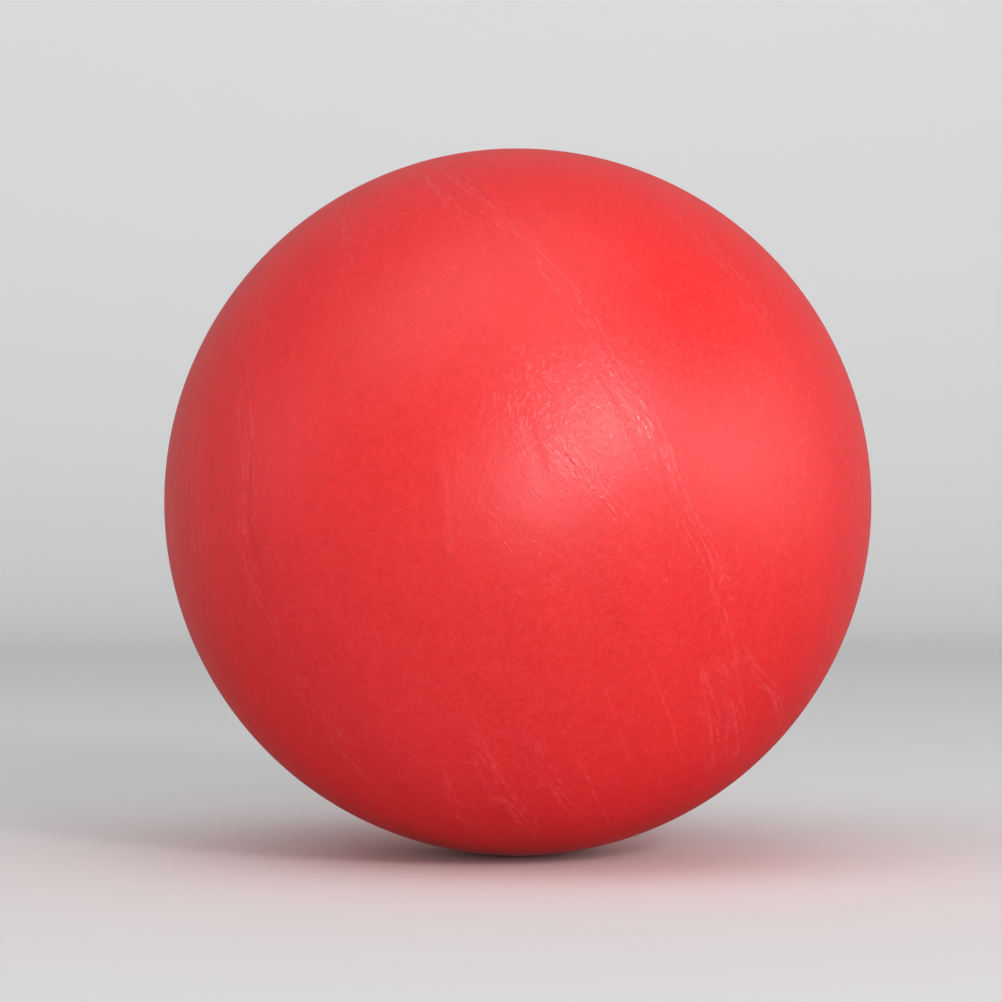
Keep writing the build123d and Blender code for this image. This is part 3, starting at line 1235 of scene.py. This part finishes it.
def core_rubber(finish: CoreFinish) -> bpy.types.Material:
    """Write out the core's material: dark pressed rubber with ground crumb in it.

    Args:
        finish: The core's colours and roughness.

    Returns:
        The finished material.
    """
    material = bpy.data.materials.new(finish.name)
    material.use_nodes = True
    tree = material.node_tree
    tree.nodes.clear()
    nodes = tree.nodes
    links = tree.links

    crumb_frame = nodes.new("NodeFrame")
    crumb_frame.label = "Ground crumb"

    place = nodes.new("ShaderNodeTexCoord")
    place.label = "Place on the core"
    place.parent = crumb_frame

    millimetres = nodes.new("ShaderNodeMapping")
    millimetres.label = "Millimetres"
    millimetres.parent = crumb_frame
    millimetres.inputs["Scale"].default_value = (1 / MM, 1 / MM, 1 / MM)
    links.new(place.outputs["Object"], millimetres.inputs["Vector"])

    crumbs = nodes.new("ShaderNodeTexVoronoi")
    crumbs.label = "Crumbs about a millimetre wide"
    crumbs.parent = crumb_frame
    crumbs.inputs["Scale"].default_value = 0.9
    links.new(millimetres.outputs["Vector"], crumbs.inputs["Vector"])

    crumb_pick = nodes.new("ShaderNodeSeparateColor")
    crumb_pick.label = "A random tone for each crumb"
    crumb_pick.parent = crumb_frame
    links.new(crumbs.outputs["Color"], crumb_pick.inputs["Color"])

    crumb_tone = nodes.new("ShaderNodeMix")
    crumb_tone.label = "Dark rubber to paler crumb"
    crumb_tone.parent = crumb_frame
    crumb_tone.data_type = "RGBA"
    crumb_tone.inputs["A"].default_value = (*finish.base, 1.0)
    crumb_tone.inputs["B"].default_value = (*finish.crumb, 1.0)
    links.new(crumb_pick.outputs["Red"], crumb_tone.inputs["Factor"])

    press_frame = nodes.new("NodeFrame")
    press_frame.label = "Pressed surface"

    pressed = nodes.new("ShaderNodeTexNoise")
    pressed.label = "Matt pressed tooth"
    pressed.parent = press_frame
    pressed.inputs["Scale"].default_value = 2.5
    pressed.inputs["Detail"].default_value = 4.0
    links.new(millimetres.outputs["Vector"], pressed.inputs["Vector"])

    dullness = nodes.new("ShaderNodeMapRange")
    dullness.label = "Matt, a little uneven"
    dullness.parent = press_frame
    dullness.inputs["To Min"].default_value = finish.roughness - 0.1
    dullness.inputs["To Max"].default_value = finish.roughness + 0.1
    links.new(pressed.outputs["Fac"], dullness.inputs["Value"])

    press_relief = nodes.new("ShaderNodeBump")
    press_relief.label = "Tooth 40 microns deep"
    press_relief.parent = press_frame
    press_relief.inputs["Distance"].default_value = 40 * MICRON
    links.new(pressed.outputs["Fac"], press_relief.inputs["Height"])

    rubber = nodes.new("ShaderNodeBsdfPrincipled")
    rubber.label = "Matt rubber"
    rubber.inputs["IOR"].default_value = 1.5
    links.new(crumb_tone.outputs["Result"], rubber.inputs["Base Color"])
    links.new(dullness.outputs["Result"], rubber.inputs["Roughness"])
    links.new(press_relief.outputs["Normal"], rubber.inputs["Normal"])

    output = nodes.new("ShaderNodeOutputMaterial")
    output.label = "Core of the ball"
    links.new(rubber.outputs["BSDF"], output.inputs["Surface"])

    spread_out(tree)
    return material


def stage_paint(name: str, tone: float) -> bpy.types.Material:
    """Write out the studio sweep's material: matt pale paint with a faint roller texture.

    Args:
        name: The material's name.
        tone: How much light the paint sends back, from 0 to 1.

    Returns:
        The finished material.
    """
    material = bpy.data.materials.new(name)
    material.use_nodes = True
    tree = material.node_tree
    tree.nodes.clear()
    nodes = tree.nodes
    links = tree.links

    place = nodes.new("ShaderNodeTexCoord")
    place.label = "Place on the sweep"

    roller = nodes.new("ShaderNodeTexNoise")
    roller.label = "Faint unevenness of the paint"
    roller.inputs["Scale"].default_value = 4.0
    roller.inputs["Detail"].default_value = 2.0
    links.new(place.outputs["Object"], roller.inputs["Vector"])

    shade = nodes.new("ShaderNodeMix")
    shade.label = "Pale paint"
    shade.data_type = "RGBA"
    shade.inputs["A"].default_value = (tone * 0.99, tone * 0.99, tone, 1.0)
    shade.inputs["B"].default_value = (tone, tone, tone, 1.0)
    links.new(roller.outputs["Fac"], shade.inputs["Factor"])

    paint = nodes.new("ShaderNodeBsdfDiffuse")
    paint.label = "Matt paint"
    links.new(shade.outputs["Result"], paint.inputs["Color"])

    output = nodes.new("ShaderNodeOutputMaterial")
    output.label = "Studio sweep"
    links.new(paint.outputs["BSDF"], output.inputs["Surface"])

    spread_out(tree)
    return material


def spread_out(tree: bpy.types.NodeTree) -> None:
    """Lay a tree's nodes out in columns, one row of columns for each frame, so that they can be read.

    Args:
        tree: The node tree to lay out.
    """
    rows: dict[str, int] = {}
    columns: dict[str, int] = {}
    for node in tree.nodes:
        if node.bl_idname == "NodeFrame":
            continue
        row_name = node.parent.label if node.parent else "Surface"
        row = rows.setdefault(row_name, len(rows))
        column = columns.get(row_name, 0)
        columns[row_name] = column + 1
        node.location = (column * 260.0, row * -420.0)


@dataclass
class CoverCup:
    """One moulded rubber cup of the ball's cover.

    The dome is a coarse cage that a Subdivision and a Cast modifier round into an even sphere. The
    cup's hidden walls (its rim, rebate and socket) come from the CAD node, so that they fit exactly.
    The skin's soft relief stays in a live Displace modifier.

    Attributes:
        side: Which half of the ball the cup covers.
        radius: The ball's radius, in metres.
        marks: The flow marks on it.
        patches: The wrinkled and calm patches on it.
        grain: The direction in which its rubber flowed.
        cells: Cage cells along one edge of the dome's square front.
        levels: Levels of subdivision that the cage gets.
        relief: Depth of the skin's soft relief, in metres.
        rim_break: Size of the small corner buffed off at the parting line, in metres.
        rim_calm: Distance from the parting line over which the relief dies out, in metres.
    """

    side: CupSide
    radius: float
    marks: tuple[FlowMark, ...]
    patches: tuple[SkinPatch, ...]
    grain: Grain
    cells: int = 10
    levels: int = 4
    relief: float = 0.09 * MM
    rim_break: float = 0.15 * MM
    rim_calm: float = 1.5 * MM

    @property
    def node(self) -> str:
        """Name of the CAD node that the cup stands for."""
        return f"{self.side.name.lower()}_cup"

    def build(self) -> bpy.types.Object:
        """Make the cup's mesh and its live relief.

        Returns:
            The finished piece, closed, at the origin.
        """
        dome = self._dome()
        piece = self._join_walls(dome)
        bpy.data.meshes.remove(dome)
        self._measure_marks(piece)
        self._add_relief(piece)
        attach(piece, "root")
        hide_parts(self.node)
        return piece

    def dress(self, piece: bpy.types.Object, finish: bpy.types.Material) -> None:
        """Give the cup its material.

        Args:
            piece: The cup.
            finish: The cover's material.
        """
        piece.data.materials.clear()
        piece.data.materials.append(finish)

    def _cage(self) -> bpy.types.Mesh:
        """Make half of a box whose lines of cells are spaced by equal angles, open at the parting plane.

        Returns:
            The cage's mesh, with faces that point outwards.
        """
        rounding_error = 1e-9
        same_corner = 1e-4
        stops = [math.tan(math.radians(90 * i / self.cells - 45)) for i in range(self.cells + 1)]
        outward = [stop for stop in stops if stop >= -rounding_error]
        sign = self.side.value
        cage = bmesh.new()

        def grid(place: CagePlace, across: list[float], along: list[float]) -> None:
            """Add one flat side of the box.

            Args:
                place: Turns two cage coordinates into a place.
                across: Cage coordinates one way.
                along: Cage coordinates the other way.
            """
            rows = [[cage.verts.new(place(a, b)) for b in along] for a in across]
            for row, following in zip(rows, rows[1:]):
                for i in range(len(along) - 1):
                    cage.faces.new((row[i], row[i + 1], following[i + 1], following[i]))

        grid(lambda a, b: (a, sign, b), stops, stops)
        for end in (-1, 1):
            grid(lambda a, b: (end, sign * b, a), stops, outward)
            grid(lambda a, b: (a, sign * b, end), stops, outward)
        bmesh.ops.remove_doubles(cage, verts=cage.verts, dist=same_corner)
        bmesh.ops.scale(cage, verts=cage.verts, vec=Vector((1, 1, 1)) * self.radius)
        cage.normal_update()
        for face in cage.faces:
            if face.normal.dot(face.calc_center_median()) < 0:
                face.normal_flip()
        mesh = bpy.data.meshes.new("dome_cage")
        cage.to_mesh(mesh)
        cage.free()
        return mesh

    def _dome(self) -> bpy.types.Mesh:
        """Round the cage into the cup's dome.

        Returns:
            The dome's mesh, open at the parting plane.
        """
        mesh = self._cage()
        helper = bpy.data.objects.new("dome_helper", mesh)
        bpy.context.scene.collection.objects.link(helper)
        divide = helper.modifiers.new("Even skin", "SUBSURF")
        divide.subdivision_type = "SIMPLE"
        divide.levels = self.levels
        divide.render_levels = self.levels
        cast = helper.modifiers.new("Round", "CAST")
        cast.cast_type = "SPHERE"
        cast.factor = 1.0
        cast.size = self.radius
        cast.use_radius_as_size = False
        depsgraph = bpy.context.evaluated_depsgraph_get()
        dome = bpy.data.meshes.new_from_object(helper.evaluated_get(depsgraph))
        bpy.data.objects.remove(helper)
        bpy.data.meshes.remove(mesh)
        return dome

    def _join_walls(self, dome: bpy.types.Mesh) -> bpy.types.Object:
        """Close the dome with the buffed corner and the CAD cup's rim, rebate and socket.

        The dome is drawn back from the parting plane by the corner's size first.

        Args:
            dome: The dome's mesh.

        Returns:
            The closed cup.
        """
        same_vertex = 0.001 * MM
        sharp_from = math.radians(30)
        body = bmesh.new()
        body.from_mesh(frame["nodes"][self.node].data)
        bmesh.ops.remove_doubles(body, verts=body.verts, dist=same_vertex)
        rim_radius = self.radius - self.rim_break
        skin = [v for v in body.verts if v.co.length > rim_radius - self.rim_break / 2]
        bmesh.ops.delete(body, geom=skin, context="VERTS")
        wall_edges = [e for e in body.edges if e.is_boundary]
        for vert in dome.vertices:
            if abs(vert.co.y) < self.rim_break:
                vert.co.y = self.side.value * self.rim_break
                vert.co *= self.radius / vert.co.length
        body.from_mesh(dome)
        inner_edges = set(wall_edges)
        dome_edges = [e for e in body.edges if e.is_boundary and e not in inner_edges]
        corner = bmesh.ops.extrude_edge_only(body, edges=dome_edges)
        for vert in corner["geom"]:
            if isinstance(vert, bmesh.types.BMVert):
                vert.co.y = 0.0
                vert.co *= rim_radius / vert.co.length
        rim_edges = [e for e in body.edges if e.is_boundary and e not in inner_edges]
        bmesh.ops.bridge_loops(body, edges=wall_edges + rim_edges)
        for face in body.faces:
            face.smooth = True
        bmesh.ops.recalc_face_normals(body, faces=body.faces)
        if body.calc_volume(signed=True) < 0:
            bmesh.ops.reverse_faces(body, faces=body.faces)
        mesh = bpy.data.meshes.new(f"{self.node}_moulded")
        body.to_mesh(mesh)
        body.free()
        mesh.set_sharp_from_angle(angle=sharp_from)
        piece = bpy.data.objects.new(f"{self.node}_moulded", mesh)
        bpy.context.scene.collection.objects.link(piece)
        return piece

    def _nearest(self, kind: MarkKind, latitudes: np.ndarray, longitudes: np.ndarray) -> np.ndarray:
        """Read the strongest mark of a kind at each place.

        Args:
            kind: The kind of mark to look for.
            latitudes: Grain latitudes, in degrees.
            longitudes: Grain longitudes, in degrees.

        Returns:
            An (n, 3) array of gap, run and strength, as FlowMark.measure gives them.
        """
        best = np.zeros((len(latitudes), 3), np.float32)
        for mark in self.marks:
            if mark.kind is not kind:
                continue
            reading = mark.measure(latitudes, longitudes, self.radius / MM)
            stronger = np.abs(reading[:, 2]) > np.abs(best[:, 2])
            best[stronger] = reading[stronger]
        return best

    def _measure_marks(self, piece: bpy.types.Object) -> None:
        """Store on each vertex how it lies to the marks and patches, for the material to read.

        Args:
            piece: The cup.
        """
        points = vertex_places(piece.data)
        latitudes, longitudes = self.grain.angles(points)
        for name, kind in (
            ("streak", MarkKind.BUNDLE),
            ("ridge", MarkKind.RIDGE),
            ("fold", MarkKind.FOLD),
        ):
            reading = self._nearest(kind, latitudes, longitudes)
            attribute = piece.data.attributes.new(name, "FLOAT_VECTOR", "POINT")
            attribute.data.foreach_set("vector", reading.astype(np.float32).ravel())
        for kind in PatchKind:
            strength = np.zeros(len(points))
            for patch in self.patches:
                if patch.kind is kind:
                    strength = np.maximum(strength, patch.measure(latitudes, longitudes))
            if kind is PatchKind.CALM:
                strength = 1 - strength
            attribute = piece.data.attributes.new(kind.value, "FLOAT", "POINT")
            attribute.data.foreach_set("value", strength.astype(np.float32))

    def _add_relief(self, piece: bpy.types.Object) -> None:
        """Sink the skin by its soft relief: slow swells, wide folds and the beds of the bundles.

        Args:
            piece: The cup.
        """
        points = vertex_places(piece.data)
        latitudes, longitudes = self.grain.angles(points)
        height = self._swells(points)
        for kind, rise in ((MarkKind.FOLD, 0.6), (MarkKind.BUNDLE, 0.2), (MarkKind.RIDGE, 0.15)):
            reading = self._nearest(kind, latitudes, longitudes)
            height += rise * reading[:, 2] * np.abs(reading[:, 2])
        height = np.clip(height, 0, 1)
        on_skin = np.linalg.norm(points, axis=1) > self.radius - self.rim_break / 2
        calm = np.clip(np.abs(points[:, 1]) / self.rim_calm - self.rim_break / self.rim_calm, 0, 1)
        sink = (1 - height) * calm * on_skin
        group = piece.vertex_groups.new(name="sink")
        for index in np.flatnonzero(sink > 0):
            group.add([int(index)], float(sink[index]), "REPLACE")
        relief = piece.modifiers.new("Soft relief", "DISPLACE")
        relief.vertex_group = group.name
        relief.direction = "NORMAL"
        relief.mid_level = 0.0
        relief.strength = -self.relief

    def _swells(self, points: np.ndarray) -> np.ndarray:
        """Height of the slow swells that shrinkage leaves in the skin.

        Args:
            points: Places on the cup.

        Returns:
            Heights from about 0.1 to 0.5, as shares of the relief.
        """
        middle = 0.3
        swell_length = 14 * MM
        swell_share = 0.18
        ripple_length = 4 * MM
        ripple_share = 0.05
        heights = np.empty(len(points))
        for index, point in enumerate(points):
            swell = noise.noise(Vector(point) / swell_length)
            ripple = noise.noise(Vector(point) / ripple_length)
            heights[index] = middle + swell_share * swell + ripple_share * ripple
        return heights


def vertex_places(mesh: bpy.types.Mesh) -> np.ndarray:
    """Read a mesh's vertices.

    Args:
        mesh: The mesh.

    Returns:
        An (n, 3) array of places.
    """
    flat = np.empty(len(mesh.vertices) * 3, np.float32)
    mesh.vertices.foreach_get("co", flat)
    return flat.reshape(-1, 3).astype(float)


@dataclass
class Core:
    """The ball's firm rubber centre, whose CAD shape is kept.

    Attributes:
        node: Name of its CAD node.
    """

    node: str = "core"

    def dress(self, finish: bpy.types.Material) -> bpy.types.Object:
        """Give the CAD core its material.

        Args:
            finish: The core's material.

        Returns:
            The core.
        """
        core = frame["nodes"][self.node]
        for slot in core.material_slots:
            slot.material = finish
        return core


@dataclass(frozen=True)
class SoftLight:
    """A round soft light that faces the ball.

    Attributes:
        name: What the light is for.
        azimuth: Angle from -Y towards +X, in degrees.
        elevation: Angle above the horizon, in degrees.
        distance: Distance from the ball's centre, in metres.
        size: Diameter of its face, in metres.
        strength: Irradiance that it gives at the ball, in watts per square metre.
    """

    name: str
    azimuth: float
    elevation: float
    distance: float
    size: float
    strength: float

    def place(self) -> bpy.types.Object:
        """Make the light.

        Returns:
            The light's object.
        """
        turn = math.radians(self.azimuth)
        rise = math.radians(self.elevation)
        toward = Vector((
            math.sin(turn) * math.cos(rise),
            -math.cos(turn) * math.cos(rise),
            math.sin(rise),
        ))
        data = bpy.data.lights.new(self.name, "AREA")
        data.shape = "DISK"
        data.size = self.size
        data.energy = self.strength * math.pi * self.distance**2
        light = bpy.data.objects.new(self.name, data)
        bpy.context.scene.collection.objects.link(light)
        light.location = toward * self.distance
        light.rotation_euler = (-toward).to_track_quat("-Z", "Y").to_euler()
        return light


LIGHTS: tuple[SoftLight, ...] = (
    SoftLight("key_heart", 29, 23, 0.7, 0.10, 0.50),
    SoftLight("key_face", 29, 23, 0.7, 0.26, 0.38),
    SoftLight("key_spill", 29, 23, 0.7, 0.60, 0.22),
    SoftLight("right_wall", 85, 12, 0.7, 0.50, 0.42),
    SoftLight("overhead", 10, 75, 0.7, 0.60, 0.48),
    SoftLight("left_wall", -80, 15, 0.7, 0.40, 0.13),
    SoftLight("overhead_left", -50, 50, 0.7, 0.50, 0.36),
    SoftLight("overhead_front", 15, 40, 0.7, 0.65, 0.25),
    SoftLight("front_fill", 0, 5, 0.9, 0.40, 0.28),
    SoftLight("low_front_fill", 10, 6, 0.9, 0.24, 0.37),
    SoftLight("low_right_fill", 62, 12, 0.7, 0.36, 0.34),
)


@dataclass
class Studio:
    """The pale sweep, soft lights and camera round the ball.

    Attributes:
        floor_height: Height of the floor, in metres.
        sweep_depth: Distance from the ball to where the floor starts to rise, in metres.
        sweep_radius: Radius of that rise, in metres.
        half_width: Half of the sweep's width, in metres.
        wall_height: Height of the wall above the floor, in metres.
        sky: Strength of the pale light from all round, above the horizon.
        below: Share of it that comes from below the floor.
        paint_tone: How much light the sweep sends back.
        wash: Power of the light that faces the wall, in watts.
        camera_distance: Distance from the camera to the ball's centre, in metres.
        ball_share: Share of the picture's width that the ball fills.
        aim_left: How far to the left of the ball's centre the camera stands and looks, in ball radii.
        aim_above: How far above it, in ball radii.
    """

    floor_height: float
    sweep_depth: float = 0.5
    sweep_radius: float = 0.5
    half_width: float = 2.0
    wall_height: float = 1.6
    sky: float = 0.32
    below: float = 0.1
    paint_tone: float = 0.8
    wash: float = 3.0
    camera_distance: float = 0.30
    ball_share: float = 0.7074
    aim_left: float = 0.0471
    aim_above: float = 0.003

    def build_sweep(self) -> bpy.types.Object:
        """Make the floor that curves up into a wall.

        Returns:
            The sweep's object.
        """
        arc_steps = 16
        profile = [(-1.2, self.floor_height), (self.sweep_depth, self.floor_height)]
        for step in range(1, arc_steps + 1):
            turn = math.radians(90 * step / arc_steps)
            out = self.sweep_depth + self.sweep_radius * math.sin(turn)
            up = self.floor_height + self.sweep_radius * (1 - math.cos(turn))
            profile.append((out, up))
        profile.append((self.sweep_depth + self.sweep_radius, self.floor_height + self.wall_height))
        sheet = bmesh.new()
        rows = []
        for out, up in profile:
            rows.append([sheet.verts.new((side * self.half_width, out, up)) for side in (-1, 1)])
        for near, far in zip(rows, rows[1:]):
            face = sheet.faces.new((near[0], near[1], far[1], far[0]))
            face.smooth = True
        mesh = bpy.data.meshes.new("studio_sweep")
        sheet.to_mesh(mesh)
        sheet.free()
        sweep = bpy.data.objects.new("studio_sweep", mesh)
        bpy.context.scene.collection.objects.link(sweep)
        mesh.materials.append(stage_paint("pale_paint", self.paint_tone))
        sweep.visible_glossy = False
        sweep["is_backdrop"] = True
        return sweep

    def build_wall_wash(self) -> bpy.types.Object:
        """Make the wide, low light that faces the wall and keeps it pale. It doesn't shine on the ball.

        Returns:
            The light's object.
        """
        toward_wall = Vector((0.0, 1.0, 0.0))
        light_height = 0.3
        data = bpy.data.lights.new("wall_wash", "AREA")
        data.shape = "RECTANGLE"
        data.size = self.half_width
        data.size_y = light_height
        data.energy = self.wash
        light = bpy.data.objects.new("wall_wash", data)
        bpy.context.scene.collection.objects.link(light)
        light.location = (0.0, 0.8 * self.sweep_depth, self.sweep_depth)
        light.rotation_euler = toward_wall.to_track_quat("-Z", "Y").to_euler()
        return light

    def build_sky(self) -> bpy.types.World:
        """Make the pale light from all round, even above the horizon and dim below the floor.

        Returns:
            The world.
        """
        world = bpy.data.worlds.new("pale_room")
        world.use_nodes = True
        nodes = world.node_tree.nodes
        links = world.node_tree.links
        background = nodes["Background"]
        background.label = "Pale room light"
        background.inputs["Color"].default_value = (1.0, 1.0, 1.0, 1.0)

        direction = nodes.new("ShaderNodeTexCoord")
        direction.label = "Direction"
        direction.location = (-660.0, 0.0)

        height = nodes.new("ShaderNodeSeparateXYZ")
        height.label = "Height of that direction"
        height.location = (-440.0, 0.0)
        links.new(direction.outputs["Generated"], height.inputs["Vector"])

        room = nodes.new("ShaderNodeMapRange")
        room.label = "Even above the horizon, dim below the floor"
        room.location = (-220.0, 0.0)
        room.interpolation_type = "SMOOTHSTEP"
        room.inputs["From Min"].default_value = -0.5
        room.inputs["From Max"].default_value = 0.05
        room.inputs["To Min"].default_value = self.below * self.sky
        room.inputs["To Max"].default_value = self.sky
        links.new(height.outputs["Z"], room.inputs["Value"])
        links.new(room.outputs["Result"], background.inputs["Strength"])
        bpy.context.scene.world = world
        return world

    def build_camera(self, radius: float) -> bpy.types.Object:
        """Stand the camera in front of the ball, all but level with its centre.

        Args:
            radius: The ball's radius, in metres.

        Returns:
            The camera's object.
        """
        data = bpy.data.cameras.new("camera")
        seen_tangent = radius / math.sqrt(self.camera_distance**2 - radius**2)
        data.sensor_width = 36.0
        data.lens = self.ball_share / 2 / seen_tangent * data.sensor_width
        data.clip_start = 0.01
        camera = bpy.data.objects.new("camera", data)
        bpy.context.scene.collection.objects.link(camera)
        camera.location = (-self.aim_left * radius, -self.camera_distance, self.aim_above * radius)
        camera.rotation_euler = (math.radians(90), 0.0, 0.0)
        bpy.context.scene.camera = camera
        return camera


def main() -> None:
    """Build the cups, dress the core and set the studio up round them."""
    logging.basicConfig(level=logging.INFO, format="%(name)s: %(message)s")
    grain = Grain()
    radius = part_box("rear_cup")[1].y
    cups = (
        CoverCup(CupSide.FRONT, radius, FRONT_MARKS, FRONT_PATCHES, grain),
        CoverCup(CupSide.REAR, radius, REAR_MARKS, REAR_PATCHES, grain),
    )
    cover = cover_rubber(CoverFinish(), grain, radius / MM)
    for cup in cups:
        piece = cup.build()
        cup.dress(piece, cover)
        mesh = piece.data
        log.info("%s: %d vertices, %d faces", piece.name, len(mesh.vertices), len(mesh.polygons))
    core = Core().dress(core_rubber(CoreFinish()))
    log.info("%s: dressed as %s", core.name, core.material_slots[0].material.name)

    studio = Studio(floor_height=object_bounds()[0][2])
    studio.build_sweep()
    studio.build_wall_wash()
    studio.build_sky()
    studio.build_camera(radius)
    for light in LIGHTS:
        light.place()
    log.info("studio: %d soft lights", len(LIGHTS))
    bpy.context.scene.view_settings.view_transform = "Standard"


if __name__ == "__main__":
    main()
